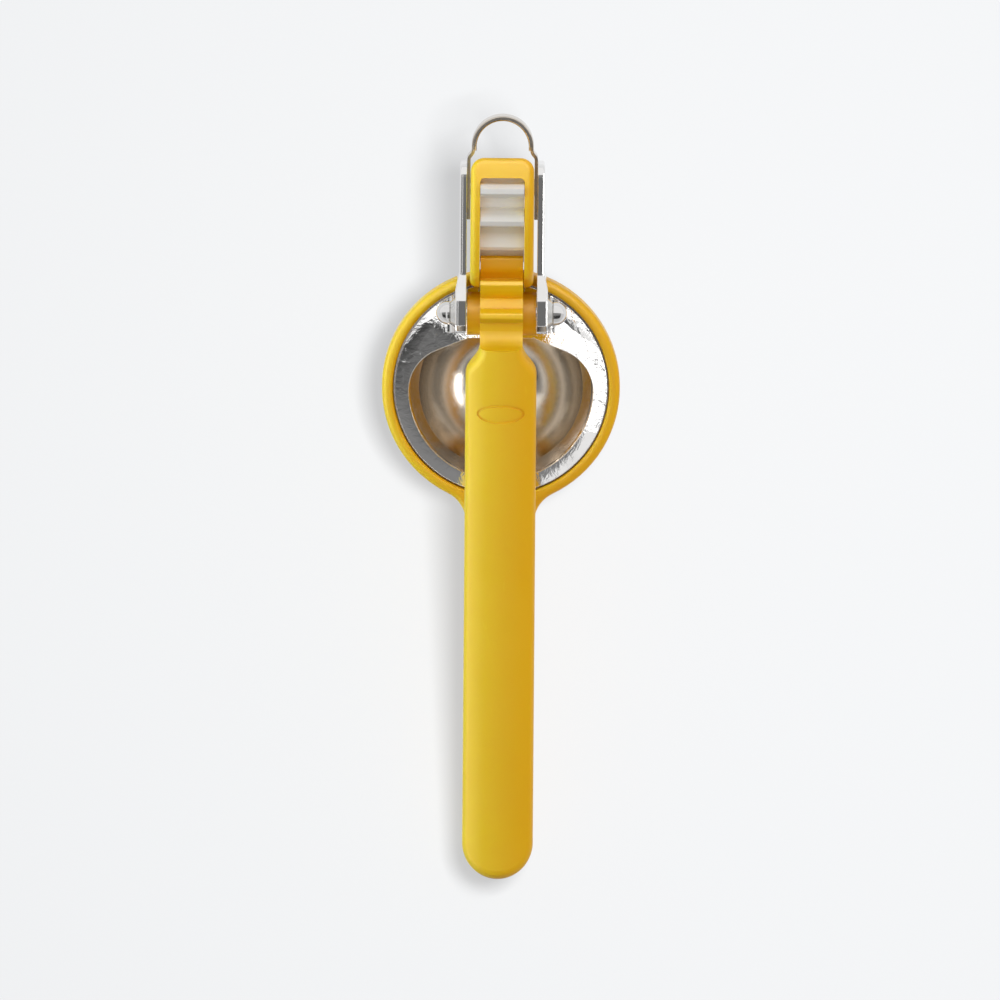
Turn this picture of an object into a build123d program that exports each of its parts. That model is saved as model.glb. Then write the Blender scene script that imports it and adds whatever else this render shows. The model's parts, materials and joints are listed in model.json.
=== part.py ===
from build123d import *
import math
import os

# Hinged lemon squeezer with geared handles. Units are millimetres.
# The tool is drawn with its ring level: X across, Y along the tool with the hinge at +Y, Z up,
# ring centre on the Z axis and ring top at Z = 0. Every piece is then laid down as the closed
# tool lies on a table, on the bowl and on the end of the lower handle.

# Ring and strainer bowl
RING_OUTER_R = 40.0
RING_BAND = 3.7
RING_HEIGHT = 10.0
RING_EDGE_R = 2.2
RING_INNER_EDGE_R = 1.2
LEDGE_DEPTH = 4.1
LEDGE_WIDTH = 2.2
BOWL_WALL = 1.0
BOWL_FIT = 0.2
BOWL_DEPTH = 32.8
BOWL_FLAT_R = 8.2
DRAIN_HOLE_D = 3.0
DRAIN_HOLE_COUNTS = (6, 12, 18)
DRAIN_RING_SHARES = (0.21, 0.40, 0.59)

# Lower handle
LOWER_HALF_WIDTH = 11.6
LOWER_END_HALF_WIDTH = 11.2
LOWER_END_Y = -163.0
RING_BLEND_R = 11.0

# Gears and pivots
GEAR_MODULE = 3.175
SUN_TEETH = 14
HANDLE_TEETH = 13
PRESSURE_ANGLE = 20.0
TOOTH_THINNING = 0.3
ROOT_DEPTH = 1.25
PIVOT_BEHIND_RING = 29.5
MAIN_PIVOT_Z = 6.8
PIVOT_LINE_RISE = 1.6
SUN_TOOTH_ANGLE = 21.5
SUN_TEETH_CUT = 6
HANDLE_TEETH_CUT = 4
FLANK_STEPS = 5
GEAR_HALF_WIDTH = 7.15
PRESS_OPENING = 55.0
RUNNING_GAP = 0.3
SEAT_GAP = 0.1
PIN_FIT = 0.05
NEARLY = 0.01

# Hinge frame of the lower body
CHEEK_WALL = 3.2
CHEEK_LAP = 0.6
CHEEK_TOP_Z = 30.8
CHEEK_ARC_TOP = 56.0
CHEEK_CROWN = 3.0
CROSSBAR_DEPTH = 6.6
FRAME_FOOT_R = 17.0
FRAME_FRONT_TOP_R = 6.0
FRAME_BACK_REACH = 12.6
FRAME_BACK_LEAN = 8.5
FRAME_CORNER_R = 4.6
FRAME_EDGE_R = 2.2
WINDOW_CORNER_R = 1.5
GEAR_INSET = 0.6
DOWEL_D = 3.0
DOWEL_SPOTS = ((48.0, 12.5), (108.0, 9.5))

# Hanging loop
LOOP_THICKNESS = 1.1
LOOP_ARCH_THICKNESS = 1.7
LOOP_HEIGHT = 7.0
LOOP_OUTER_R = 10.4
LOOP_STRAIGHT = 1.3
LOOP_BEND_RUN = 3.2
LOOP_BEND_GAP = 2.6
LOOP_FOOT_LENGTH = 19.0
LOOP_EDGE_R = 0.45

# Press: dish, flange and arms
PRESS_SHEET = 1.2
FLANGE_THICKNESS = 1.7
FLANGE_TOP_DROP = 0.5
FLANGE_RING_GAP = 0.6
FLANGE_WIDTH = 4.6
DISH_FOLD_WIDTH = 3.6
DISH_FOLD_DEPTH = 4.6
PEEL_ROOM = 4.8
ROOF_TO_PIVOT = 9.6
DISH_ROOF_HALF = 11.0
DISH_ROOF_SLOPE = 22.0
DISH_SHOULDER_R = 15.0
ARM_THICKNESS = 2.4
ARM_REACH = 8.3
ARM_CORNER_R = 4.0
ARM_BOSS_R = 10.6
ARM_BOSS_FRONT = 5.6
ARM_SHOULDER_RUN = 14.0
ARM_RING_GAP = 0.6
ARM_BEHIND_RING = 3.0
EAR_FRONT_RUN = 2.0
EAR_FLARE_START = 9.0
EAR_FLARE_RUN = 6.0
EAR_FLARE = 1.3
EAR_FOOT_R = 3.2
EAR_EDGE_R = 1.0

# Pins
MAIN_PIN_D = 6.0
MAIN_PIN_HEAD_D = 9.0
HANDLE_PIN_D = 4.5
BUSH_WALL = 1.2
PIN_HEAD_R = 3.95
PIN_HEAD_RIM = 0.6
COLLAR_BASE_D = 10.4
COLLAR_TIP_D = 7.2
COLLAR_LENGTH = 1.9
CAP_GRIP = 3.0

# Upper handle
BARREL_R = 7.25
HUB_CLEARANCE = 2.9
VALLEY_WIDTH = 4.0
VALLEY_DROP = 0.5
SCOOP_R = 6.8
SCOOP_BEHIND_PIVOT = 3.0
TOOTH_TIP_R = 0.8
NECK_REACH = 14.0
NECK_LEAD = 5.0
NECK_BELLY_INSET = 0.5
NECK_THROAT_Y = 5.0
NECK_THROAT_DROP = 2.5
GRIP_TO_PIVOT = 8.4
GRIP_ABOVE_PIVOT = 14.4
GRIP_OVERHANG = 1.2
GRIP_END_Z = 12.0
GRIP_HALF_WIDTH = 11.9
NECK_LENGTH = 10.5
GRIP_CROWN = 7.8
GRIP_CROWN_DROP = 4.2
GRIP_BELLY = 7.2
GRIP_BELLY_RISE = 2.4
GRIP_TOP_EDGE_R = 3.4
GRIP_BELLY_EDGE_R = 2.4
OVAL_LENGTH = 16.0
OVAL_WIDTH = 6.6
OVAL_LINE = 0.9
OVAL_DEPTH = 0.5
OVAL_BEHIND_NECK = 22.4

# Values that follow from the ones above
RING_INNER_R = RING_OUTER_R - RING_BAND
LEDGE_R = RING_INNER_R - LEDGE_WIDTH
LIP_R = RING_INNER_R - BOWL_FIT
LIP_TOP_Z = BOWL_WALL - LEDGE_DEPTH
FLANGE_TOP_Z = -FLANGE_TOP_DROP
FLANGE_R = RING_INNER_R - FLANGE_RING_GAP
DISH_RIM_R = FLANGE_R - FLANGE_WIDTH
DISH_FOLD_R = DISH_RIM_R - DISH_FOLD_WIDTH
DISH_DEPTH = BOWL_DEPTH - BOWL_WALL - PEEL_ROOM
PITCH_SUN = GEAR_MODULE * SUN_TEETH / 2
PITCH_HANDLE = GEAR_MODULE * HANDLE_TEETH / 2
CENTRE_DISTANCE = PITCH_SUN + PITCH_HANDLE
MAIN_PIVOT_Y = RING_OUTER_R + PIVOT_BEHIND_RING
CHEEK_R = PIVOT_BEHIND_RING + RING_BAND + CHEEK_LAP
HANDLE_PIVOT_Y = MAIN_PIVOT_Y - CENTRE_DISTANCE * math.cos(math.radians(PIVOT_LINE_RISE))
HANDLE_PIVOT_Z = MAIN_PIVOT_Z + CENTRE_DISTANCE * math.sin(math.radians(PIVOT_LINE_RISE))
DISH_ROOF_Y = HANDLE_PIVOT_Y - ROOF_TO_PIVOT
HUB_FLOOR_Z = FLANGE_TOP_Z + HUB_CLEARANCE
GRIP_FRONT_Y = HANDLE_PIVOT_Y - GRIP_TO_PIVOT
GRIP_FRONT_Z = HANDLE_PIVOT_Z + GRIP_ABOVE_PIVOT
GRIP_END_Y = LOWER_END_Y - GRIP_OVERHANG
WINDOW_HALF = GEAR_HALF_WIDTH + RUNNING_GAP
FRAME_HALF = WINDOW_HALF + CHEEK_WALL
LOOP_FOOT_X = FRAME_HALF + SEAT_GAP
ARM_INNER_X = LOOP_FOOT_X + LOOP_THICKNESS
ARM_OUTER_X = ARM_INNER_X + ARM_THICKNESS
EAR_OUTER_X = ARM_OUTER_X + EAR_FLARE
BARREL_HALF = ARM_INNER_X - RUNNING_GAP
HEAD_SEAT_X = EAR_OUTER_X + COLLAR_LENGTH
FRAME_BACK_Y = MAIN_PIVOT_Y + FRAME_BACK_REACH
WINDOW_BACK_Y = FRAME_BACK_Y - CROSSBAR_DEPTH
BOWL_MOUTH_R = LEDGE_R - SEAT_GAP
BOWL_CENTRE_Z = (BOWL_MOUTH_R ** 2 + LEDGE_DEPTH ** 2 - BOWL_FLAT_R ** 2 - BOWL_DEPTH ** 2) / (
    2 * (BOWL_DEPTH - LEDGE_DEPTH))
BOWL_OUTER_R = math.hypot(BOWL_MOUTH_R, LEDGE_DEPTH + BOWL_CENTRE_Z)
BOWL_INNER_R = BOWL_OUTER_R - BOWL_WALL


def lying_tilt():
    """Angle that brings the bowl's flat and the rounded end of the lower handle onto one plane."""
    run = -BOWL_FLAT_R - (LOWER_END_Y + RING_EDGE_R)
    rise = BOWL_DEPTH - (RING_HEIGHT - RING_EDGE_R)
    return math.degrees(math.atan2(rise, run) - math.asin(RING_EDGE_R / math.hypot(run, rise)))


def side_prism(sketch, half_width):
    """Solid whose side view is the sketch (drawn as Y, Z), centred across the tool."""
    return extrude(Plane.YZ * sketch, amount=half_width, both=True)


def cross_rod(y, z, radius, x_start, x_end):
    """Round rod lying across the tool between two X values."""
    return Pos(x_start, y, z) * extrude(Plane.YZ * Circle(radius), amount=x_end - x_start)


def both_sides(shape):
    """The shape together with its mirror image on the other side of the tool."""
    return [shape, mirror(shape, about=Plane.YZ)]


def involute(angle):
    return math.tan(angle) - angle


def gear_tooth(teeth, direction):
    """One involute tooth about the gear centre, pointing along the direction in degrees."""
    pitch_r = GEAR_MODULE * teeth / 2
    tip_r = pitch_r + GEAR_MODULE
    root_r = pitch_r - ROOT_DEPTH * GEAR_MODULE
    pressure = math.radians(PRESSURE_ANGLE)
    base_r = pitch_r * math.cos(pressure)
    half_at_base = math.pi / (2 * teeth) - TOOTH_THINNING / (2 * pitch_r) + involute(pressure)
    flank = []
    for step in range(FLANK_STEPS + 1):
        radius = base_r + (tip_r - base_r) * step / FLANK_STEPS
        half = half_at_base - involute(math.acos(base_r / radius))
        flank.append((radius * math.cos(half), radius * math.sin(half)))
    mirrored = [(x, -y) for x, y in flank]
    inner_r = root_r - GEAR_MODULE / 2
    foot = (inner_r * math.cos(half_at_base), inner_r * math.sin(half_at_base))
    mirrored_foot = (foot[0], -foot[1])
    outline = [
        Line(foot, flank[0]),
        Spline(*flank),
        ThreePointArc(flank[-1], (tip_r, 0), mirrored[-1]),
        Spline(*reversed(mirrored)),
        Line(mirrored[0], mirrored_foot),
        Line(mirrored_foot, foot),
    ]
    return Rot(0, 0, direction) * make_face(outline)


def sun_tooth_directions():
    """Directions of the fixed gear's teeth, from straight up over to below the handle gear."""
    pitch = 360 / SUN_TEETH
    return [90 + SUN_TOOTH_ANGLE + pitch * (place - 1) for place in range(SUN_TEETH_CUT)]


def handle_tooth_directions():
    """Directions of the handle gear's teeth, set so a gap faces the fixed gear's nearest tooth."""
    sun_pitch = 360 / SUN_TEETH
    handle_pitch = 360 / HANDLE_TEETH
    line = 90 - PIVOT_LINE_RISE
    offset = (SUN_TOOTH_ANGLE - line) % sun_pitch
    gap = -PIVOT_LINE_RISE - offset * SUN_TEETH / HANDLE_TEETH
    return [gap + handle_pitch * (place + 0.5) for place in range(HANDLE_TEETH_CUT)]


def edges_at_height(shape, z):
    """Edges of the shape that lie at one height."""
    return shape.edges().filter_by_position(Axis.Z, z - NEARLY, z + NEARLY)


def runs_along(edge, axis, share=0.9):
    """True where the middle of the edge points mostly along the axis, a letter of X, Y or Z."""
    return abs(getattr(edge.tangent_at(0.5), axis)) > share


def plan_outline(front_y, end_y, half_width, end_half_width):
    """Plan of a handle: straight tapering sides closed by a round end."""
    turn_y = end_y + end_half_width
    outline = [
        Line((half_width, front_y), (-half_width, front_y)),
        Line((-half_width, front_y), (-end_half_width, turn_y)),
        ThreePointArc((-end_half_width, turn_y), (0, end_y), (end_half_width, turn_y)),
        Line((end_half_width, turn_y), (half_width, front_y)),
    ]
    return make_face(outline)


def ring_and_lower_handle():
    """Ring with its ledge for the bowl lip, running into the lower handle."""
    handle = plan_outline(0, LOWER_END_Y, LOWER_HALF_WIDTH, LOWER_END_HALF_WIDTH)
    plan = Sketch() + [Circle(RING_OUTER_R), handle]
    joins = plan.vertices().filter_by(lambda v: -RING_OUTER_R < v.Y < -RING_OUTER_R / 2)
    plan = fillet(joins, RING_BLEND_R)
    slab = Pos(0, 0, -RING_HEIGHT) * extrude(plan, amount=RING_HEIGHT)
    for z in (0, -RING_HEIGHT):
        slab = fillet(edges_at_height(slab, z), RING_EDGE_R)
    seat = Pos(0, 0, -LEDGE_DEPTH) * extrude(Circle(RING_INNER_R), amount=RING_HEIGHT)
    through = Pos(0, 0, -2 * RING_HEIGHT) * extrude(Circle(LEDGE_R), amount=3 * RING_HEIGHT)
    ring = slab - seat - through
    inner_edge = edges_at_height(ring, 0).filter_by(
        lambda e: e.geom_type == GeomType.CIRCLE and abs(e.radius - RING_INNER_R) < NEARLY)
    return fillet(inner_edge, RING_INNER_EDGE_R)


def frame_outline():
    """Side view of the hinge frame: an arc facing the handle pivot, a leaning back, a round foot."""
    py, pz = MAIN_PIVOT_Y, MAIN_PIVOT_Z
    rise = math.radians(CHEEK_ARC_TOP)
    middle = math.radians((90 + CHEEK_ARC_TOP) / 2)
    arc_foot = (py - CHEEK_R, pz)
    arc_middle = (py - CHEEK_R * math.sin(middle), pz + CHEEK_R * math.cos(middle))
    top_front = (py - CHEEK_R * math.sin(rise), pz + CHEEK_R * math.cos(rise))
    bottom_front = (py - CHEEK_R, -RING_HEIGHT)
    lean = math.tan(math.radians(FRAME_BACK_LEAN))
    back_top = (FRAME_BACK_Y, CHEEK_TOP_Z - CHEEK_CROWN)
    back_low = (FRAME_BACK_Y - lean * (back_top[1] + RING_HEIGHT), -RING_HEIGHT)
    crest = ((top_front[0] + back_top[0]) / 2, CHEEK_TOP_Z)
    outline = make_face([
        Line(bottom_front, arc_foot),
        ThreePointArc(arc_foot, arc_middle, top_front),
        ThreePointArc(top_front, crest, back_top),
        Line(back_top, back_low),
        Line(back_low, bottom_front),
    ])
    outline = fillet(nearest_vertex(outline, back_low), FRAME_FOOT_R)
    return fillet(nearest_vertex(outline, top_front), FRAME_FRONT_TOP_R)


def nearest_vertex(sketch, point):
    """Corner of the sketch that lies at the point."""
    return min(sketch.vertices(), key=lambda v: math.hypot(v.X - point[0], v.Y - point[1]))


def hinge_frame():
    """Two cheeks joined by a crossbar, with the gear window open at the handle side."""
    block = side_prism(frame_outline(), FRAME_HALF)
    corners = block.edges().filter_by(lambda e: e.center().Y > WINDOW_BACK_Y
                                      and abs(e.center().X) > FRAME_HALF - NEARLY
                                      and runs_along(e, "Z"))
    block = fillet(corners, FRAME_CORNER_R)
    upper = block.edges().filter_by(lambda e: e.center().Z > MAIN_PIVOT_Z + FRAME_CORNER_R
                                    and not runs_along(e, "Z", 0.95))
    rim = upper.filter_by(lambda e: abs(e.center().X) > FRAME_HALF - NEARLY
                          or e.center().Y > FRAME_BACK_Y - FRAME_CORNER_R)
    block = fillet(rim, FRAME_EDGE_R)
    window_length = CHEEK_R + FRAME_BACK_REACH
    window = Pos(0, WINDOW_BACK_Y - window_length / 2, 0) * Box(
        2 * WINDOW_HALF, window_length, 2 * (CHEEK_TOP_Z + RING_HEIGHT))
    back_corners = window.edges().filter_by(Axis.Z).filter_by(lambda e: e.center().Y > MAIN_PIVOT_Y)
    return block - fillet(back_corners, WINDOW_CORNER_R)


def lower_body():
    """Ring, lower handle and hinge frame moulded in one piece."""
    body = ring_and_lower_handle() + hinge_frame()
    body -= Pos(0, 0, -LEDGE_DEPTH) * extrude(Circle(RING_INNER_R), amount=LEDGE_DEPTH)
    body -= cross_rod(MAIN_PIVOT_Y, MAIN_PIVOT_Z, MAIN_PIN_D / 2 + PIN_FIT, -FRAME_HALF, FRAME_HALF)
    for rod in dowel_rods():
        body -= rod
    return body


def dowel_rods():
    """Rods that lock the fixed gear to the cheeks."""
    rods = []
    for angle, radius in DOWEL_SPOTS:
        turn = math.radians(angle)
        y = MAIN_PIVOT_Y - radius * math.sin(turn)
        z = MAIN_PIVOT_Z + radius * math.cos(turn)
        rods.append(cross_rod(y, z, DOWEL_D / 2, -FRAME_HALF, FRAME_HALF))
    return rods


def gear_dowels():
    return Compound(children=dowel_rods())


def sun_gear():
    """Fixed toothed sector that fills the hinge frame window."""
    root_r = PITCH_SUN - ROOT_DEPTH * GEAR_MODULE
    profile = Sketch() + [Circle(root_r)] + [gear_tooth(SUN_TEETH, a) for a in sun_tooth_directions()]
    profile = Pos(MAIN_PIVOT_Y, MAIN_PIVOT_Z) * profile
    back = WINDOW_BACK_Y - SEAT_GAP
    size = 4 * PITCH_SUN
    ahead = Pos(back - size / 2, MAIN_PIVOT_Z) * Rectangle(size, size)
    above = Pos(back - size / 2, MAIN_PIVOT_Z + size / 2) * Rectangle(size, size)
    keep = (offset(frame_outline(), -GEAR_INSET) & ahead) + above
    gear = side_prism(profile & keep, WINDOW_HALF - SEAT_GAP)
    back_corners = gear.edges().filter_by(Axis.Z).filter_by(lambda e: e.center().Y > back - SEAT_GAP)
    gear = fillet(back_corners, WINDOW_CORNER_R)
    gear -= cross_rod(MAIN_PIVOT_Y, MAIN_PIVOT_Z, MAIN_PIN_D / 2 + PIN_FIT, -FRAME_HALF, FRAME_HALF)
    for rod in dowel_rods():
        gear -= rod
    return gear


def bowl_holes():
    """Upright cylinders that pierce the bowl as drain holes."""
    hole = Pos(0, 0, -BOWL_DEPTH - 1) * extrude(Circle(DRAIN_HOLE_D / 2), amount=BOWL_DEPTH)
    holes = [hole]
    for count, share in zip(DRAIN_HOLE_COUNTS, DRAIN_RING_SHARES):
        holes += [loc * hole for loc in PolarLocations(share * LEDGE_R, count)]
    return holes


def strainer_bowl():
    """Round strainer with a flat bottom and a lip that rests on the ring's ledge."""
    top = LIP_TOP_Z
    width = 3 * BOWL_OUTER_R
    floor = BOWL_WALL - BOWL_DEPTH
    ball = Pos(0, 0, BOWL_CENTRE_Z) * Sphere(BOWL_OUTER_R)
    core = Pos(0, 0, BOWL_CENTRE_Z) * Sphere(BOWL_INNER_R)
    slab = Pos(0, 0, (top - BOWL_DEPTH) / 2) * Box(width, width, top + BOWL_DEPTH)
    hollow = Pos(0, 0, floor + width / 2) * Box(width, width, width)
    shell = (ball & slab) - (core & hollow)
    lip = Pos(0, 0, top - BOWL_WALL) * extrude(Circle(LIP_R) - Circle(BOWL_MOUTH_R - BOWL_WALL / 2),
                                               amount=BOWL_WALL)
    bowl = shell + lip
    for hole in bowl_holes():
        bowl -= hole
    return bowl


def dish_plan(growth):
    """Plan of the dish: a circle with a sloping roof towards the hinge, grown by a sheet thickness."""
    reach = 2 * DISH_RIM_R
    fall = math.tan(math.radians(DISH_ROOF_SLOPE))
    roof_end = DISH_ROOF_Y - (reach - DISH_ROOF_HALF) * fall
    roof = Polyline((-reach, -reach), (reach, -reach), (reach, roof_end), (DISH_ROOF_HALF, DISH_ROOF_Y),
                    (-DISH_ROOF_HALF, DISH_ROOF_Y), (-reach, roof_end), close=True)
    plan = Circle(DISH_RIM_R) & make_face(roof)
    shoulders = plan.vertices().filter_by(lambda v: abs(v.X) > DISH_RIM_R / 2)
    plan = fillet(shoulders, DISH_SHOULDER_R)
    return offset(plan, growth) if growth else plan


def dish_bowl(growth):
    """Solid filling of the dish, grown by a sheet thickness."""
    fold_z = FLANGE_TOP_Z - DISH_FOLD_DEPTH
    top_z = FLANGE_TOP_Z
    centre_z = (DISH_FOLD_R ** 2 + fold_z ** 2 - DISH_DEPTH ** 2) / (2 * (DISH_DEPTH + fold_z))
    radius = DISH_DEPTH + centre_z + growth
    fold_r = math.sqrt(radius ** 2 - (fold_z - centre_z) ** 2)
    low = centre_z - radius
    turn = math.radians(45)
    outline = [
        Line((0, top_z), (DISH_RIM_R + growth, top_z)),
        Line((DISH_RIM_R + growth, top_z), (fold_r, fold_z)),
        ThreePointArc((fold_r, fold_z), (radius * math.sin(turn), centre_z - radius * math.cos(turn)),
                      (0, low)),
        Line((0, low), (0, top_z)),
    ]
    filling = revolve(Plane.XZ * make_face(outline), Axis.Z)
    limit = Pos(0, 0, top_z) * extrude(dish_plan(growth), amount=-2 * DISH_DEPTH)
    return filling & limit


def arm_outline():
    """Side view of an arm: blunt hinge end, straight run, raised boss and a steep front."""
    py, pz = MAIN_PIVOT_Y, MAIN_PIVOT_Z
    hy, hz = HANDLE_PIVOT_Y, HANDLE_PIVOT_Z
    shoulder_y = hy + ARM_SHOULDER_RUN
    points = Polyline(
        (py + ARM_REACH, pz - ARM_REACH),
        (py + ARM_REACH, pz + ARM_REACH),
        (shoulder_y, pz + ARM_REACH),
        (hy + ARM_BOSS_FRONT, hz + ARM_BOSS_R),
        (hy - ARM_BOSS_FRONT / 2, hz + ARM_BOSS_R),
        (hy - ARM_BOSS_FRONT, hz + ARM_BOSS_R / 3),
        (hy - ARM_BOSS_FRONT - EAR_FRONT_RUN, FLANGE_TOP_Z),
        (hy, ARM_RING_GAP),
        (RING_OUTER_R + ARM_BEHIND_RING, ARM_RING_GAP),
        (py, pz - ARM_REACH),
        close=True)
    outline = make_face(points)
    corners = outline.vertices().filter_by(lambda v: v.X > py + NEARLY)
    return fillet(corners, ARM_CORNER_R)


def ear_side():
    """One arm with its flared ear, on the +X side, standing on the flange."""
    top = HANDLE_PIVOT_Z + ARM_BOSS_R
    front = HANDLE_PIVOT_Y - ARM_BOSS_FRONT - EAR_FRONT_RUN
    flare_y = HANDLE_PIVOT_Y + EAR_FLARE_START
    profile = extrude(Plane.YZ * arm_outline(), amount=EAR_OUTER_X)
    plan = Polyline((ARM_INNER_X, front), (EAR_OUTER_X, front), (EAR_OUTER_X, flare_y),
                    (ARM_OUTER_X, flare_y + EAR_FLARE_RUN), (ARM_OUTER_X, 2 * MAIN_PIVOT_Y),
                    (ARM_INNER_X, 2 * MAIN_PIVOT_Y), close=True)
    tower = Pos(0, 0, -RING_HEIGHT) * extrude(make_face(plan), amount=top + 2 * RING_HEIGHT)
    arm = profile & tower
    rim = arm.edges().filter_by(lambda e: e.center().X > ARM_OUTER_X - NEARLY
                                and not runs_along(e, "X", 0.5))
    return fillet(rim, EAR_EDGE_R)


def ear_foot():
    """Flared root that blends an ear into the flange."""
    front = HANDLE_PIVOT_Y - ARM_BOSS_FRONT - EAR_FRONT_RUN
    x_out = EAR_OUTER_X + EAR_FOOT_R
    z_up = FLANGE_TOP_Z + EAR_FOOT_R
    bend = math.radians(45)
    mid = (x_out - EAR_FOOT_R * math.sin(bend), z_up - EAR_FOOT_R * math.cos(bend))
    low = FLANGE_TOP_Z - FLANGE_THICKNESS
    outline = [
        Line((ARM_INNER_X, low), (x_out, low)),
        Line((x_out, low), (x_out, FLANGE_TOP_Z)),
        ThreePointArc((x_out, FLANGE_TOP_Z), mid, (EAR_OUTER_X, z_up)),
        Line((EAR_OUTER_X, z_up), (ARM_INNER_X, z_up)),
        Line((ARM_INNER_X, z_up), (ARM_INNER_X, low)),
    ]
    strip = Pos(0, front, 0) * extrude(Plane.XZ * make_face(outline), amount=-FLANGE_R)
    return strip & Pos(0, 0, low) * extrude(Circle(FLANGE_R), amount=EAR_FOOT_R + FLANGE_THICKNESS)


def hub_notch():
    """Gap in the flange through which the toothed hub dips when the tool opens."""
    swing = math.radians(PRESS_OPENING * SUN_TEETH / HANDLE_TEETH)
    floor_drop = HANDLE_PIVOT_Z - HUB_FLOOR_Z
    flange_drop = HANDLE_PIVOT_Z - FLANGE_TOP_Z
    reach = (floor_drop - flange_drop * math.cos(swing)) / math.sin(swing)
    start_y = HANDLE_PIVOT_Y - reach - 3 * RUNNING_GAP
    half = GEAR_HALF_WIDTH + 2 * RUNNING_GAP
    return Pos(0, start_y + FLANGE_R / 2, 0) * Box(2 * half, FLANGE_R, 2 * RING_HEIGHT)


def press_dish():
    """Concave press with its flange, ears and arms."""
    flange = Pos(0, 0, FLANGE_TOP_Z) * extrude(Circle(FLANGE_R), amount=-FLANGE_THICKNESS)
    press = flange + dish_bowl(PRESS_SHEET)
    press -= dish_bowl(0)
    for arm in both_sides(ear_side() + ear_foot()):
        press += arm
    press -= hub_notch()
    press -= cross_rod(HANDLE_PIVOT_Y, HANDLE_PIVOT_Z, HANDLE_PIN_D / 2, -EAR_OUTER_X, EAR_OUTER_X)
    press -= main_pivot_pin()
    return press


def main_pivot_pin():
    """Rivet through arms, cheeks and fixed gear, with countersunk heads flush with the arms."""
    pin = cross_rod(MAIN_PIVOT_Y, MAIN_PIVOT_Z, MAIN_PIN_D / 2, -ARM_OUTER_X, ARM_OUTER_X)
    head = Plane((ARM_OUTER_X - ARM_THICKNESS / 2, MAIN_PIVOT_Y, MAIN_PIVOT_Z), z_dir=(1, 0, 0))
    cone = head * Cone(MAIN_PIN_D / 2, MAIN_PIN_HEAD_D / 2, ARM_THICKNESS)
    return pin + both_sides(cone)


def hanging_loop():
    """Bent strap: a half circle whose feet spread and lie between arms and cheeks."""
    leg_x = LOOP_OUTER_R - LOOP_THICKNESS / 2
    foot_x = LOOP_FOOT_X + LOOP_THICKNESS / 2
    strap_top = MAIN_PIVOT_Z + LOOP_HEIGHT / 2
    lean = math.tan(math.radians(FRAME_BACK_LEAN))
    leg_y = FRAME_BACK_Y - lean * (CHEEK_TOP_Z - CHEEK_CROWN - strap_top) + LOOP_BEND_GAP
    bend_y = leg_y - LOOP_BEND_RUN
    foot_y = MAIN_PIVOT_Y + ARM_REACH - LOOP_FOOT_LENGTH
    leg = Curve() + [
        Line((foot_x, foot_y), (foot_x, bend_y)),
        Spline((foot_x, bend_y), (leg_x, leg_y), tangents=((0, 1), (0, 1))),
    ]
    feet = extrude(trace(leg, LOOP_THICKNESS), amount=LOOP_HEIGHT)
    arch = extrude(loop_arch(leg_y), amount=LOOP_HEIGHT)
    arch = fillet(arch.edges().filter_by(lambda e: not runs_along(e, "Z", 0.1)
                                         and e.center().Y > leg_y + LOOP_EDGE_R / 2), LOOP_EDGE_R)
    strap = Pos(0, 0, MAIN_PIVOT_Z - LOOP_HEIGHT / 2) * (arch + both_sides(feet))
    return strap - cross_rod(MAIN_PIVOT_Y, MAIN_PIVOT_Z, MAIN_PIN_D / 2, -ARM_OUTER_X, ARM_OUTER_X)


def loop_arch(start_y):
    """Plan of the loop's arch: two short legs and a half circle, thicker than the feet."""
    round_y = start_y + LOOP_STRAIGHT
    fills = []
    for radius in (LOOP_OUTER_R, LOOP_OUTER_R - LOOP_ARCH_THICKNESS):
        fills.append(make_face([
            Line((radius, start_y), (radius, round_y)),
            ThreePointArc((radius, round_y), (0, round_y + radius), (-radius, round_y)),
            Line((-radius, round_y), (-radius, start_y)),
            Line((-radius, start_y), (radius, start_y)),
        ]))
    return fills[0] - fills[1]


def pin_head(seat_x):
    """Domed head with a short straight rim on the +X side, its flat face on the seat."""
    dome_x = seat_x + PIN_HEAD_RIM
    ball = Pos(dome_x, HANDLE_PIVOT_Y, HANDLE_PIVOT_Z) * Sphere(PIN_HEAD_R)
    dome = ball & Pos(dome_x + PIN_HEAD_R, HANDLE_PIVOT_Y, HANDLE_PIVOT_Z) * Box(
        2 * PIN_HEAD_R, 3 * PIN_HEAD_R, 3 * PIN_HEAD_R)
    return dome + cross_rod(HANDLE_PIVOT_Y, HANDLE_PIVOT_Z, PIN_HEAD_R, seat_x, dome_x)


def handle_pivot_pin():
    """Pin through both ears and the handle barrel, with one domed head."""
    shank = cross_rod(HANDLE_PIVOT_Y, HANDLE_PIVOT_Z, HANDLE_PIN_D / 2, -HEAD_SEAT_X,
                      HEAD_SEAT_X + CAP_GRIP)
    return shank + mirror(pin_head(HEAD_SEAT_X), about=Plane.YZ)


def handle_pin_cap():
    """Domed cap pressed on the far end of the handle pin."""
    return pin_head(HEAD_SEAT_X) - handle_pivot_pin()


def pin_collar():
    """Conical collar between the +X ear and its pin head, wide at the ear."""
    middle = Plane(((EAR_OUTER_X + HEAD_SEAT_X) / 2, HANDLE_PIVOT_Y, HANDLE_PIVOT_Z), z_dir=(1, 0, 0))
    cone = middle * Cone(COLLAR_BASE_D / 2, COLLAR_TIP_D / 2, COLLAR_LENGTH)
    return cone - cross_rod(HANDLE_PIVOT_Y, HANDLE_PIVOT_Z, HANDLE_PIN_D / 2 + PIN_FIT, EAR_OUTER_X,
                            HEAD_SEAT_X)


def pin_collar_left():
    return mirror(pin_collar(), about=Plane.YZ)


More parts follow.
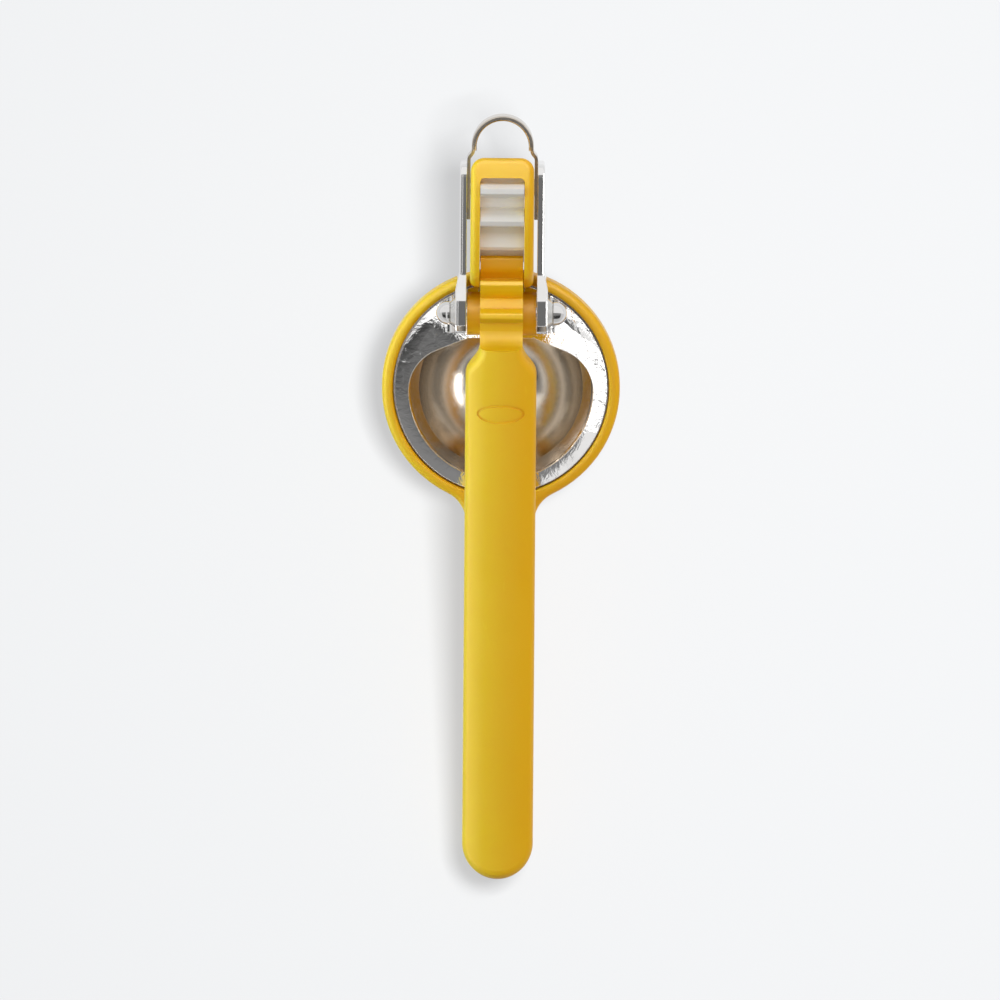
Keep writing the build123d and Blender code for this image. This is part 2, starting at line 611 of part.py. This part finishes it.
def handle_bush():
    """Bearing tube pressed in the handle barrel."""
    outer = HANDLE_PIN_D / 2 + PIN_FIT + BUSH_WALL
    tube = cross_rod(HANDLE_PIVOT_Y, HANDLE_PIVOT_Z, outer, -BARREL_HALF, BARREL_HALF)
    return tube - cross_rod(HANDLE_PIVOT_Y, HANDLE_PIVOT_Z, HANDLE_PIN_D / 2 + PIN_FIT,
                            -BARREL_HALF, BARREL_HALF)


def hub_outline():
    """Side view of the toothed hub and the neck that carries it into the grip."""
    root_r = PITCH_HANDLE - ROOT_DEPTH * GEAR_MODULE
    hy, hz = HANDLE_PIVOT_Y, HANDLE_PIVOT_Z
    teeth = [gear_tooth(HANDLE_TEETH, a) for a in handle_tooth_directions()]
    wheel = Sketch() + [Circle(root_r)] + teeth
    tip_r = PITCH_HANDLE + GEAR_MODULE
    tips = wheel.vertices().filter_by(lambda v: math.hypot(v.X, v.Y) > tip_r - NEARLY)
    wheel = Pos(hy, hz) * fillet(tips, TOOTH_TIP_R)
    size = 4 * PITCH_HANDLE
    keep = Pos(hy + (size - BARREL_R) / 2, HUB_FLOOR_Z + size / 2) * Rectangle(size, size)
    valley_z = hz + root_r - VALLEY_DROP
    belly_z = GRIP_FRONT_Z - GRIP_BELLY
    under = (GRIP_FRONT_Y - NECK_REACH, belly_z + NECK_BELLY_INSET)
    throat = (hy - BARREL_R - NECK_THROAT_Y, belly_z - NECK_THROAT_DROP)
    root = (hy - BARREL_R / 2, hz - BARREL_R / 2)
    neck = make_face([
        Polyline(root, (hy, hz), (hy, valley_z), (hy - VALLEY_WIDTH, valley_z),
                 (GRIP_FRONT_Y, GRIP_FRONT_Z), (under[0], GRIP_FRONT_Z), under),
        ThreePointArc(under, throat, root),
    ])
    return (wheel & keep) + neck + Pos(hy, hz) * Circle(BARREL_R)


def grip_plan():
    """Plan of the grip: narrow neck swelling into the long handle with a round end."""
    neck_y = GRIP_FRONT_Y
    lead_y = neck_y + NECK_LEAD
    full_y = neck_y - NECK_LENGTH
    neck_x, full_x = GEAR_HALF_WIDTH, GRIP_HALF_WIDTH
    turn_y = GRIP_END_Y + full_x
    outline = [
        Polyline((neck_x, neck_y), (neck_x, lead_y), (-neck_x, lead_y), (-neck_x, neck_y)),
        Spline((-neck_x, neck_y), (-full_x, full_y), tangents=((0, -1), (0, -1))),
        Line((-full_x, full_y), (-full_x, turn_y)),
        ThreePointArc((-full_x, turn_y), (0, GRIP_END_Y), (full_x, turn_y)),
        Line((full_x, turn_y), (full_x, full_y)),
        Spline((full_x, full_y), (neck_x, neck_y), tangents=((0, 1), (0, 1))),
    ]
    return make_face(outline)


def grip_section():
    """Cross-section of the grip: crowned top, flatter belly."""
    side = GRIP_HALF_WIDTH + OVAL_DEPTH
    top = GRIP_CROWN - GRIP_CROWN_DROP
    low = GRIP_BELLY_RISE - GRIP_BELLY
    outline = [
        ThreePointArc((-side, top), (0, GRIP_CROWN), (side, top)),
        Line((side, top), (side, low)),
        ThreePointArc((side, low), (0, -GRIP_BELLY), (-side, low)),
        Line((-side, low), (-side, top)),
    ]
    return make_face(outline)


def grip():
    """Long rounded handle, sloping down from its neck to its end."""
    length = GRIP_FRONT_Y - GRIP_END_Y
    slope = math.degrees(math.atan2(GRIP_FRONT_Z - GRIP_END_Z, length))
    beam = Pos(0, GRIP_FRONT_Y + NECK_LEAD, 0) * extrude(
        Plane.XZ * grip_section(), amount=NECK_LEAD + length + GRIP_OVERHANG)
    block = Pos(0, 0, -2 * GRIP_BELLY) * extrude(grip_plan(), amount=2 * (GRIP_BELLY + GRIP_CROWN))
    bar = beam & block
    rim = bar.edges().filter_by(lambda e: e.center().Y < GRIP_FRONT_Y - NEARLY
                                and not runs_along(e, "Z"))
    bar = fillet(rim.filter_by(lambda e: e.center().Z > 0), GRIP_TOP_EDGE_R)
    rim = bar.edges().filter_by(lambda e: e.center().Y < GRIP_FRONT_Y - NEARLY
                                and not runs_along(e, "Z"))
    bar = fillet(rim.filter_by(lambda e: e.center().Z < -GRIP_BELLY / 2), GRIP_BELLY_EDGE_R)
    oval = Ellipse(OVAL_LENGTH / 2, OVAL_WIDTH / 2)
    oval -= Ellipse(OVAL_LENGTH / 2 - OVAL_LINE, OVAL_WIDTH / 2 - OVAL_LINE)
    line = Pos(0, GRIP_FRONT_Y - OVAL_BEHIND_NECK, 0) * extrude(oval, amount=2 * GRIP_CROWN)
    bar -= line - Pos(0, 0, -OVAL_DEPTH) * bar
    hinge = Pos(0, GRIP_FRONT_Y, GRIP_FRONT_Z)
    return hinge * Rot(slope, 0, 0) * Pos(0, -GRIP_FRONT_Y, 0) * bar


def upper_handle():
    """Handle with its toothed hub and the barrel that turns between the ears."""
    root_r = PITCH_HANDLE - ROOT_DEPTH * GEAR_MODULE
    scoop = cross_rod(HANDLE_PIVOT_Y - SCOOP_BEHIND_PIVOT, HANDLE_PIVOT_Z + root_r - VALLEY_DROP + SCOOP_R,
                      SCOOP_R, -GRIP_HALF_WIDTH, GRIP_HALF_WIDTH)
    body = side_prism(hub_outline(), GEAR_HALF_WIDTH) + (grip() - scoop)
    body += cross_rod(HANDLE_PIVOT_Y, HANDLE_PIVOT_Z, BARREL_R, -BARREL_HALF, BARREL_HALF)
    outer = HANDLE_PIN_D / 2 + PIN_FIT + BUSH_WALL
    return body - cross_rod(HANDLE_PIVOT_Y, HANDLE_PIVOT_Z, outer, -BARREL_HALF, BARREL_HALF)


PIECES = {
    "lower_body": lower_body,
    "strainer_bowl": strainer_bowl,
    "sun_gear": sun_gear,
    "gear_dowels": gear_dowels,
    "press_dish": press_dish,
    "hanging_loop": hanging_loop,
    "main_pivot_pin": main_pivot_pin,
    "upper_handle": upper_handle,
    "handle_bush": handle_bush,
    "handle_pivot_pin": handle_pivot_pin,
    "handle_pin_cap": handle_pin_cap,
    "pin_collar_left": pin_collar_left,
    "pin_collar_right": pin_collar,
}

shapes = {name: make() for name, make in PIECES.items()}
turned = {name: Rot(lying_tilt(), 0, 0) * shape for name, shape in shapes.items()}
low = min(shape.bounding_box().min.Z for shape in turned.values())
back = max(shape.bounding_box().max.Y for shape in turned.values())
front = min(shape.bounding_box().min.Y for shape in turned.values())
lay_down = Pos(0, -(front + back) / 2, -low)

os.makedirs("parts", exist_ok=True)
for name, shape in turned.items():
    export_step(lay_down * shape, f"parts/{name}.step")
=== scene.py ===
import json
import math

import bpy
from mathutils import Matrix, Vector


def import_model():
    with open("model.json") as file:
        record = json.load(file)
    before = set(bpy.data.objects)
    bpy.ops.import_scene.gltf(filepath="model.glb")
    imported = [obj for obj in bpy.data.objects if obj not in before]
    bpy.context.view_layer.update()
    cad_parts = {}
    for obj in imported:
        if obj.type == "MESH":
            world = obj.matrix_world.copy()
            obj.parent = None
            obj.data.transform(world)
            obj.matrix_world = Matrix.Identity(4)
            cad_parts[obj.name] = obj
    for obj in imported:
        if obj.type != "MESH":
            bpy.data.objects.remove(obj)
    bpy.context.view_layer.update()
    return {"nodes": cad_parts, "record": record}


MM = 0.001

# Camera: far above the tool and turned a little. It sees VIEW_WIDTH at the height of the ring.
CAMERA_HEIGHT = 10.0
VIEW_WIDTH = 0.336
SENSOR_WIDTH = 36
PICTURE_TURN = math.radians(0.44)
RING_RIGHT_OF_MIDDLE = 0.3 * MM
RING_ABOVE_MIDDLE = 37.4 * MM

# Studio: dark paper that glows for the camera and in reflections, so that the yellow can't stain it.
FLOOR_SIZE = 6
FLOOR_COLOUR = (0.15, 0.152, 0.154)
FLOOR_GLOW_COLOUR = (0.975, 0.985, 1, 1)
FLOOR_GLOW = 0.565
AMBIENT = 0.20
HORIZON = 0.02
TOOL_MIDDLE = (0, 0, 0.03)
WHITE = (1, 1, 1)

# Colours.
YELLOW = (0.79, 0.44, 0.001)
YELLOW_PALE = (0.82, 0.51, 0.012)
YELLOW_DEEP = (0.77, 0.405, 0.001)
ACETAL = (0.93, 0.92, 0.89)
ACETAL_YELLOWED = (0.87, 0.85, 0.80)
STEEL = (0.66, 0.65, 0.63)
PIN_STEEL = (0.76, 0.75, 0.74)
LOOP_STEEL = (0.62, 0.56, 0.49)
MIRROR_STEEL = (0.84, 0.83, 0.82)
MIRROR_STEEL_STAINED = (0.78, 0.77, 0.76)
# Inside the dish the steel is painted warm brown: a painted reflection of the yellow handle above it.
DISH_STEEL_WITH_PAINTED_REFLECTION = (0.74, 0.67, 0.58)
# The dish's steep band past the fold is painted darker: painted shade for the dark reflection it shows.
DISH_RIM_PAINTED_SHADE = (0.47, 0.44, 0.41)

# Fine work that the materials share.
NOISE_LOW, NOISE_HIGH = 0.3, 0.7
BEVEL_SAMPLES = 4
UNTURNED, TURNED = 0.995, 0.88
SCUFF_TILT = (0.3, 0.2)
SCUFF_STRETCH = 0.03
SCUFF_SOFTNESS = 0.05
STEEL_GRAIN = 0.002 * MM

# The press, seen from the middle of its dish with the flange level.
BOWL_DEPTH = 32.8 * MM
DISH_RADIUS = 31.1 * MM
SATIN_EDGE = 0.8 * MM
SATIN_TOP, SATIN_FULL = -0.9 * MM, -1.4 * MM
FOLD_START, FOLD_END = 27.2 * MM, 27.7 * MM
FLAT_HALF, FLAT_GONE = 0.8 * MM, 1.5 * MM
PRESS_EDGE_RADIUS = 0.4 * MM

# How the flange strays from flat: metres of height per metre in a slope, and per square metre in a curve.
RISE_SLOPE = 0.02
RISE_CURVE = 9.0
CORNER_WAY = (0.6, 0.8)
RAGGEDNESS = 1.6 * MM
BEND_START, BEND_LENGTH = 2 * MM, 12 * MM
BEND_CURVE = 6.0
CREASE_START, CREASE_END = 30.5 * MM, 33 * MM
CREASE_DEPTH = 0.36 * MM
CRINKLE_DEPTH = 0.04 * MM


def shaded(colour, share):
    return tuple(share * part for part in colour)


class Nodes:
    """A node tree, with a short call for each kind of node that any tree uses."""

    def __init__(self, tree):
        self.tree = tree

    def add(self, kind, **settings):
        node = self.tree.nodes.new(kind)
        for key, value in settings.items():
            setattr(node, key, value)
        return node

    def feed(self, value, socket):
        """Sets a socket to a plain value, or links it where the value is another socket."""
        if isinstance(value, bpy.types.NodeSocket):
            self.tree.links.new(value, socket)
        else:
            socket.default_value = value

    def math(self, operation, first, second=0.0):
        node = self.add("ShaderNodeMath", operation=operation)
        self.feed(first, node.inputs[0])
        self.feed(second, node.inputs[1])
        return node.outputs[0]

    def plus(self, first, second):
        return self.math("ADD", first, second)

    def minus(self, first, second):
        return self.math("SUBTRACT", first, second)

    def times(self, first, second):
        return self.math("MULTIPLY", first, second)

    def larger(self, first, second):
        return self.math("MAXIMUM", first, second)

    def apart(self, vector):
        """The vector's x, y and z."""
        node = self.add("ShaderNodeSeparateXYZ")
        self.feed(vector, node.inputs[0])
        return node.outputs["X"], node.outputs["Y"], node.outputs["Z"]

    def spread(self, value, low, high, start=0.0, end=1.0, smooth=False):
        """value's stretch from low to high, as a number that runs from start to end."""
        node = self.add("ShaderNodeMapRange", interpolation_type="SMOOTHSTEP" if smooth else "LINEAR")
        self.feed(value, node.inputs["Value"])
        node.inputs["From Min"].default_value = low
        node.inputs["From Max"].default_value = high
        node.inputs["To Min"].default_value = start
        node.inputs["To Max"].default_value = end
        return node.outputs["Result"]

    def blend(self, factor, first, second):
        """A number that goes from first to second with the factor."""
        node = self.add("ShaderNodeMix", data_type="FLOAT")
        self.feed(factor, node.inputs[0])
        self.feed(first, node.inputs[2])
        self.feed(second, node.inputs[3])
        return node.outputs[0]


class Shader(Nodes):
    """One material's node tree, with the calls that only a surface needs."""

    def __init__(self, name):
        self.material = bpy.data.materials.new(name)
        self.material.use_nodes = True
        super().__init__(self.material.node_tree)
        self.surface = self.tree.nodes["Principled BSDF"]
        self.place = self.add("ShaderNodeTexCoord").outputs["Object"]

    def set(self, **values):
        """Sets the surface's sockets, named with underscores for spaces."""
        for key, value in values.items():
            self.feed(value, self.surface.inputs[key.replace("_", " ")])

    def mix(self, factor, first, second):
        """A colour that goes from first to second with the factor."""
        node = self.add("ShaderNodeMix", data_type="RGBA")
        self.feed(factor, node.inputs[0])
        for value, socket in ((first, node.inputs[6]), (second, node.inputs[7])):
            self.feed((*value, 1) if isinstance(value, tuple) else value, socket)
        return node.outputs[2]

    def moved(self, vector, location=(0, 0, 0), rotation=(0, 0, 0), scale=(1, 1, 1), kind="POINT"):
        node = self.add("ShaderNodeMapping", vector_type=kind)
        self.feed(vector, node.inputs["Vector"])
        node.inputs["Location"].default_value = location
        node.inputs["Rotation"].default_value = rotation
        node.inputs["Scale"].default_value = scale
        return node.outputs["Vector"]

    def length(self, vector):
        node = self.add("ShaderNodeVectorMath", operation="LENGTH")
        self.feed(vector, node.inputs[0])
        return node.outputs["Value"]

    def noise(self, scale, detail=3, rough=0.5, vector=None, distortion=0):
        node = self.add("ShaderNodeTexNoise")
        self.feed(vector or self.place, node.inputs["Vector"])
        node.inputs["Scale"].default_value = scale
        node.inputs["Detail"].default_value = detail
        node.inputs["Roughness"].default_value = rough
        node.inputs["Distortion"].default_value = distortion
        return node.outputs["Fac"]

    def patches(self, scale, start=0.0, end=1.0, low=NOISE_LOW, high=NOISE_HIGH, **looks):
        """Noise from low to high, as a number that runs from start to end."""
        return self.spread(self.noise(scale, **looks), low, high, start, end)

    def scratches(self, angle, fineness, cut):
        """Thin straight scuffs that all run one way: stretched noise, where it is over the cut."""
        stretched = self.moved(self.place, rotation=(*SCUFF_TILT, angle), scale=(1, SCUFF_STRETCH, 1))
        return self.patches(fineness, low=cut, high=cut + SCUFF_SOFTNESS, detail=2, vector=stretched)

    def rounded(self, radius):
        """The surface's normal, with the edges rounded by the radius."""
        node = self.add("ShaderNodeBevel", samples=BEVEL_SAMPLES)
        node.inputs["Radius"].default_value = radius
        return node.outputs["Normal"]

    def edges(self, radius):
        """1 on edges sharper than the radius and 0 on flats, by how far rounding turns the normal."""
        turn = self.add("ShaderNodeVectorMath", operation="DOT_PRODUCT")
        self.feed(self.rounded(radius), turn.inputs[0])
        self.feed(self.add("ShaderNodeNewGeometry").outputs["Normal"], turn.inputs[1])
        return self.spread(turn.outputs["Value"], UNTURNED, TURNED)

    def bump(self, height, distance, strength=1.0, normal=None):
        node = self.add("ShaderNodeBump")
        self.feed(height, node.inputs["Height"])
        node.inputs["Distance"].default_value = distance
        node.inputs["Strength"].default_value = strength
        if normal is not None:
            self.feed(normal, node.inputs["Normal"])
        return node.outputs["Normal"]


def yellow_nylon():
    """Moulded nylon: a satin skin with fine spark-eroded grain, faint flow marks and paler rubbed edges."""
    s = Shader("yellow_nylon")
    flow = s.patches(22, end=0.8, detail=5, rough=0.55, distortion=0.8)
    specks = s.patches(1400, end=0.2, low=0.35, high=0.65, detail=2)
    rubbed = s.times(s.edges(0.9 * MM), s.patches(160, end=0.45, low=0.4, high=0.75, detail=4))
    scuffs = s.times(s.scratches(angle=0.5, fineness=420, cut=0.70), 0.35)
    grain = s.bump(s.noise(2200, detail=2), distance=0.005 * MM, strength=0.7)
    s.set(
        Base_Color=s.mix(
            s.larger(rubbed, scuffs), s.mix(s.plus(flow, specks), YELLOW_DEEP, YELLOW), YELLOW_PALE
        ),
        Roughness=s.patches(75, start=0.36, end=0.46, detail=4),
        IOR=1.5,
        Specular_IOR_Level=0.36,
        Subsurface_Weight=0.12,
        Subsurface_Radius=(1.0, 0.42, 0.05),
        Subsurface_Scale=1.6 * MM,
        Normal=s.bump(s.noise(45, detail=2), distance=0.05 * MM, strength=0.5, normal=grain),
    )
    return s.material


def white_acetal():
    """The fixed gear: smooth milky acetal, a little yellowed in patches."""
    s = Shader("white_acetal")
    s.set(
        Base_Color=s.mix(s.patches(60, detail=4), ACETAL_YELLOWED, ACETAL),
        Roughness=s.patches(150, start=0.30, end=0.42, detail=4),
        IOR=1.48,
        Subsurface_Weight=0.25,
        Subsurface_Radius=(1.0, 0.9, 0.75),
        Subsurface_Scale=2.0 * MM,
        Normal=s.bump(s.noise(900, detail=3), distance=0.01 * MM, strength=0.6),
    )
    return s.material


def steel(name, roughness, colour):
    """Turned or rolled stainless steel with fine lines, faint stains and a few scuffs."""
    s = Shader(name)
    lines = s.noise(2200, detail=3, vector=s.moved(s.place, scale=(1, 0.05, 1)))
    brushed = s.spread(lines, NOISE_LOW, NOISE_HIGH, 0.75 * roughness, 1.25 * roughness)
    stains = s.patches(120, low=0.35, detail=5)
    scuffs = s.scratches(angle=-0.4, fineness=500, cut=0.68)
    s.set(
        Base_Color=s.mix(stains, colour, shaded(colour, 0.9)),
        Metallic=1.0,
        Roughness=s.plus(s.plus(brushed, s.times(scuffs, 0.1)), s.times(stains, 0.04)),
        Normal=s.bump(lines, distance=STEEL_GRAIN, strength=0.25),
    )
    return s.material


def flange_height(s, level, from_axis):
    """How far the flange's top strays from flat, in metres.

    It rises outwards from the dish. Past a ragged line it also bends up towards the corner at the
    right of the hinge, in a curve that runs on straight, and drops at a crease. Fine crinkles lie
    all over it.
    """
    outward = s.larger(s.minus(from_axis, DISH_RADIUS), 0.0)
    rise = s.plus(s.times(outward, RISE_SLOPE), s.times(s.times(outward, outward), RISE_CURVE))
    x, y, _ = s.apart(level)
    to_corner = s.plus(s.times(x, CORNER_WAY[0]), s.times(y, CORNER_WAY[1]))
    rags = s.noise(220, detail=4, rough=0.6, vector=level)
    ragged = s.plus(to_corner, s.spread(rags, 0, 1, -RAGGEDNESS, RAGGEDNESS))
    past = s.larger(s.minus(ragged, BEND_START), 0.0)
    curved = s.math("MINIMUM", past, BEND_LENGTH)
    bend = s.times(s.times(curved, s.minus(s.times(past, 2.0), curved)), BEND_CURVE)
    crease = s.spread(ragged, CREASE_START, CREASE_END, 0, CREASE_DEPTH)
    crinkles = s.times(s.noise(260, detail=3, rough=0.6, vector=level, distortion=1.5), CRINKLE_DEPTH)
    return s.plus(s.plus(rise, s.minus(bend, crease)), crinkles)


def pressed_steel(dish_middle, tilt):
    """The press: mirror-bright outside the dish's rim and satin inside it, as the two are polished. The
    dish's warm brown is a painted reflection of the yellow handle, and its rim band is painted shade.
    """
    s = Shader("pressed_steel")
    level = s.moved(s.place, location=dish_middle, rotation=(tilt, 0, 0), kind="TEXTURE")
    height = s.apart(level)[2]
    from_axis = s.length(s.moved(level, scale=(1, 1, 0)))
    inside = s.times(
        s.spread(from_axis, DISH_RADIUS, DISH_RADIUS - SATIN_EDGE),
        s.spread(height, SATIN_TOP, SATIN_FULL),
    )
    # Past the fold the dish's steep band gets a darker colour, which is painted shade.
    rim_band_painted_shade = s.spread(from_axis, FOLD_START, FOLD_END)
    stains = s.patches(90, low=0.35, detail=5)
    scuffs = s.larger(
        s.scratches(angle=0.7, fineness=450, cut=0.69),
        s.scratches(angle=-0.9, fineness=380, cut=0.70),
    )
    mirror = s.plus(s.spread(stains, 0, 1, 0.03, 0.06), s.times(scuffs, 0.05))
    satin = s.patches(900, start=0.15, end=0.20, detail=2, vector=s.moved(level, scale=(1, 1, 0.2)))
    on_flange = s.times(
        s.spread(s.math("ABSOLUTE", height), FLAT_GONE, FLAT_HALF),
        s.spread(inside, 1.0, 0.0),
    )
    uneven = s.bump(
        s.times(on_flange, flange_height(s, level, from_axis)),
        distance=1.0,
        normal=s.rounded(PRESS_EDGE_RADIUS),
    )
    s.set(
        # Inside the dish the colour is a painted reflection in warm brown, with darker painted shade past
        # the fold.
        Base_Color=s.mix(
            inside,
            s.mix(stains, MIRROR_STEEL, MIRROR_STEEL_STAINED),
            s.mix(rim_band_painted_shade, DISH_STEEL_WITH_PAINTED_REFLECTION, DISH_RIM_PAINTED_SHADE),
        ),
        Metallic=1.0,
        Roughness=s.blend(inside, mirror, satin),
        Normal=s.bump(s.noise(1500, detail=2), distance=0.0006 * MM, strength=0.5, normal=uneven),
    )
    return s.material


def floor_paper():
    """Matt paper with faint fibres and clouds, which glows for the camera and in reflections."""
    s = Shader("floor_paper")
    fibre = s.noise(700, detail=4)
    fibrous = s.mix(
        s.spread(fibre, NOISE_LOW, NOISE_HIGH, 0, 0.5), FLOOR_COLOUR, shaded(FLOOR_COLOUR, 0.992)
    )
    path = s.add("ShaderNodeLightPath")
    shown = s.larger(path.outputs["Is Camera Ray"], path.outputs["Is Glossy Ray"])
    s.set(
        Base_Color=s.mix(s.patches(3, end=0.6, detail=3), fibrous, shaded(FLOOR_COLOUR, 0.99)),
        Roughness=0.9,
        Specular_IOR_Level=0.1,
        Normal=s.bump(fibre, distance=0.02 * MM, strength=0.2),
        Emission_Color=FLOOR_GLOW_COLOUR,
        Emission_Strength=s.times(shown, FLOOR_GLOW),
    )
    return s.material


def square(name, size):
    """A flat square on the floor, around the origin."""
    mesh = bpy.data.meshes.new(name)
    corners = [(x * size / 2, y * size / 2, 0) for x, y in ((-1, -1), (1, -1), (1, 1), (-1, 1))]
    mesh.from_pydata(corners, [], [(0, 1, 2, 3)])
    piece = bpy.data.objects.new(name, mesh)
    bpy.context.scene.collection.objects.link(piece)
    return piece


def dress(nodes, material, names):
    for name in names:
        nodes[name].data.materials.clear()
        nodes[name].data.materials.append(material)


def group(name, pieces):
    """A collection that only serves to say which pieces a lamp is linked to."""
    collection = bpy.data.collections.new(name)
    for piece in pieces:
        collection.objects.link(piece)
    return collection


def panel(name, place, size, strength, only, target=TOOL_MIDDLE, colour=WHITE, gloss=False, blocker=None):
    """A soft oblong lamp at a place, turned to a target, which lights `only` those pieces.

    It lights what is matt in them and shows in no reflection, or with gloss it is nothing but a
    reflection. With a blocker, nothing else stands in its way.
    """
    lamp = bpy.data.lights.new(name, "AREA")
    lamp.shape = "RECTANGLE"
    lamp.size, lamp.size_y = size
    lamp.energy = strength
    lamp.color = colour
    stand = bpy.data.objects.new(name, lamp)
    stand.location = place
    stand.rotation_euler = (Vector(target) - Vector(place)).to_track_quat("-Z", "Y").to_euler()
    stand.visible_camera = False
    stand.visible_glossy = gloss
    stand.visible_diffuse = not gloss
    bpy.context.scene.collection.objects.link(stand)
    stand.light_linking.receiver_collection = group(name + "_lights", only)
    if blocker:
        stand.light_linking.blocker_collection = group(name + "_blockers", [blocker])


def lamps(nodes, floor):
    """Panels give even light and windows show in gloss. The belly glow comes up through the floor."""
    tool = list(nodes.values())
    nylon = [nodes["lower_body"], nodes["upper_handle"]]
    press = [nodes["press_dish"]]
    lime, cream = (0.5, 1.0, 0.4), (1.0, 0.9, 0.5)
    panel("ceiling", (0, 0.1, 1.2), (2, 2), strength=10.2, only=tool)
    panel("left_panel", (-1.1, 0.1, 0.24), (0.4, 1.2), strength=17, only=nylon, colour=lime)
    panel("hinge_end_panel", (-0.15, 1.0, 0.45), (0.8, 0.4), strength=3.5, only=tool)
    panel("floor_key", (0.2, 0.06, 1.3), (0.3, 0.3), strength=39, only=[floor], target=(0, 0, 0))
    panel("left_window", (-1, 0, 0.5), (1.8, 0.9), strength=20, only=nylon, target=(0, 0, 0.5), gloss=True)
    panel("hinge_window", (0, 0.75, 0.9), (1.4, 1.0), strength=24, only=nylon, gloss=True)
    panel("right_panel", (1.1, 0.1, 0.3), (0.4, 1.2), strength=7, only=nylon, colour=cream)
    panel("belly_glow", (0, 0, -0.5), (0.6, 0.6), strength=2.6, only=nylon, blocker=nodes["gear_dowels"])
    panel("right_window", (1.0, 0.05, 0.45), (0.7, 0.35), strength=5.0, only=press, gloss=True)
    panel("handle_end_window", (0, -0.52, 1.0), (1.2, 0.31), strength=1.6, only=press, gloss=True)


def world():
    """The room: dim even light for what is matt, boards and walls for gloss, white for the camera.

    A direction is given by how far it leans to the right, and ahead towards the hinge, over a rise
    of 1. A board fades in from one lean to another.
    """
    room = bpy.data.worlds.new("studio")
    bpy.context.scene.world = room
    room.use_nodes = True
    room.cycles.sampling_method = "NONE"
    w = Nodes(room.node_tree)
    x, y, z = w.apart(w.add("ShaderNodeTexCoord").outputs["Generated"])
    up = w.larger(z, HORIZON)
    right = w.math("DIVIDE", x, up)
    ahead = w.math("DIVIDE", y, up)

    def board(lean, start, end, bright, dim=0.0):
        return w.spread(lean, start, end, dim, bright, smooth=True)

    ceiling = board(ahead, -0.42, -0.20, bright=0.26, dim=0.05)
    left_strip = w.times(board(right, -0.050, -0.075, bright=0.95), board(right, -0.40, -0.30, bright=1.0))
    left_wall = board(right, -1.2, -2.0, bright=0.8)
    right_wall = board(right, 1.2, 1.8, bright=0.7)
    hinge_board = board(ahead, 0.08, 0.20, bright=1.0)
    handle_wall = board(ahead, -1.0, -1.5, bright=0.6)
    seen = ceiling
    for part in (left_strip, left_wall, right_wall, hinge_board, handle_wall):
        seen = w.larger(seen, part)

    path = w.add("ShaderNodeLightPath")
    by_camera = path.outputs["Is Camera Ray"]
    shown = w.larger(by_camera, path.outputs["Is Glossy Ray"])
    background = w.tree.nodes["Background"]
    background.inputs["Color"].default_value = (*WHITE, 1)
    w.feed(w.blend(shown, AMBIENT, w.larger(seen, by_camera)), background.inputs["Strength"])


def camera(ring_middle):
    lens = bpy.data.cameras.new("camera")
    lens.sensor_width = SENSOR_WIDTH
    lens.lens = SENSOR_WIDTH * (CAMERA_HEIGHT - ring_middle.z) / VIEW_WIDTH
    lens.clip_end = 2 * CAMERA_HEIGHT
    seat = bpy.data.objects.new("camera", lens)
    cosine, sine = math.cos(PICTURE_TURN), math.sin(PICTURE_TURN)
    seat.location = (
        ring_middle.x - RING_RIGHT_OF_MIDDLE * cosine + RING_ABOVE_MIDDLE * sine,
        ring_middle.y - RING_RIGHT_OF_MIDDLE * sine - RING_ABOVE_MIDDLE * cosine,
        CAMERA_HEIGHT,
    )
    seat.rotation_euler = (0, 0, PICTURE_TURN)
    bpy.context.scene.collection.objects.link(seat)
    bpy.context.scene.camera = seat


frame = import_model()
nodes = frame["nodes"]

# The ring's middle lies straight over the bowl's flat, along the axis of the tilted bowl.
bowl_flat = frame["record"]["mounts"][0]
down = Vector(bowl_flat["axis"])
tilt = math.asin(down.y)
ring_middle = Vector((0, *bowl_flat["pos_m"][1:])) - BOWL_DEPTH * down

dress(nodes, yellow_nylon(), ["lower_body", "upper_handle"])
dress(nodes, white_acetal(), ["sun_gear"])
dress(nodes, pressed_steel(ring_middle, tilt), ["press_dish"])
dress(nodes, steel("polished_steel", 0.09, PIN_STEEL), ["handle_pivot_pin", "handle_pin_cap"])
dress(nodes, steel("loop_steel", 0.14, LOOP_STEEL), ["hanging_loop"])
dress(
    nodes,
    steel("satin_steel", 0.24, STEEL),
    ["strainer_bowl", "gear_dowels", "main_pivot_pin", "handle_bush", "pin_collar_left", "pin_collar_right"],
)

floor = square("floor", FLOOR_SIZE)
floor.data.materials.append(floor_paper())

bpy.context.scene.view_settings.view_transform = "Standard"
world()
lamps(nodes, floor)
camera(ring_middle)
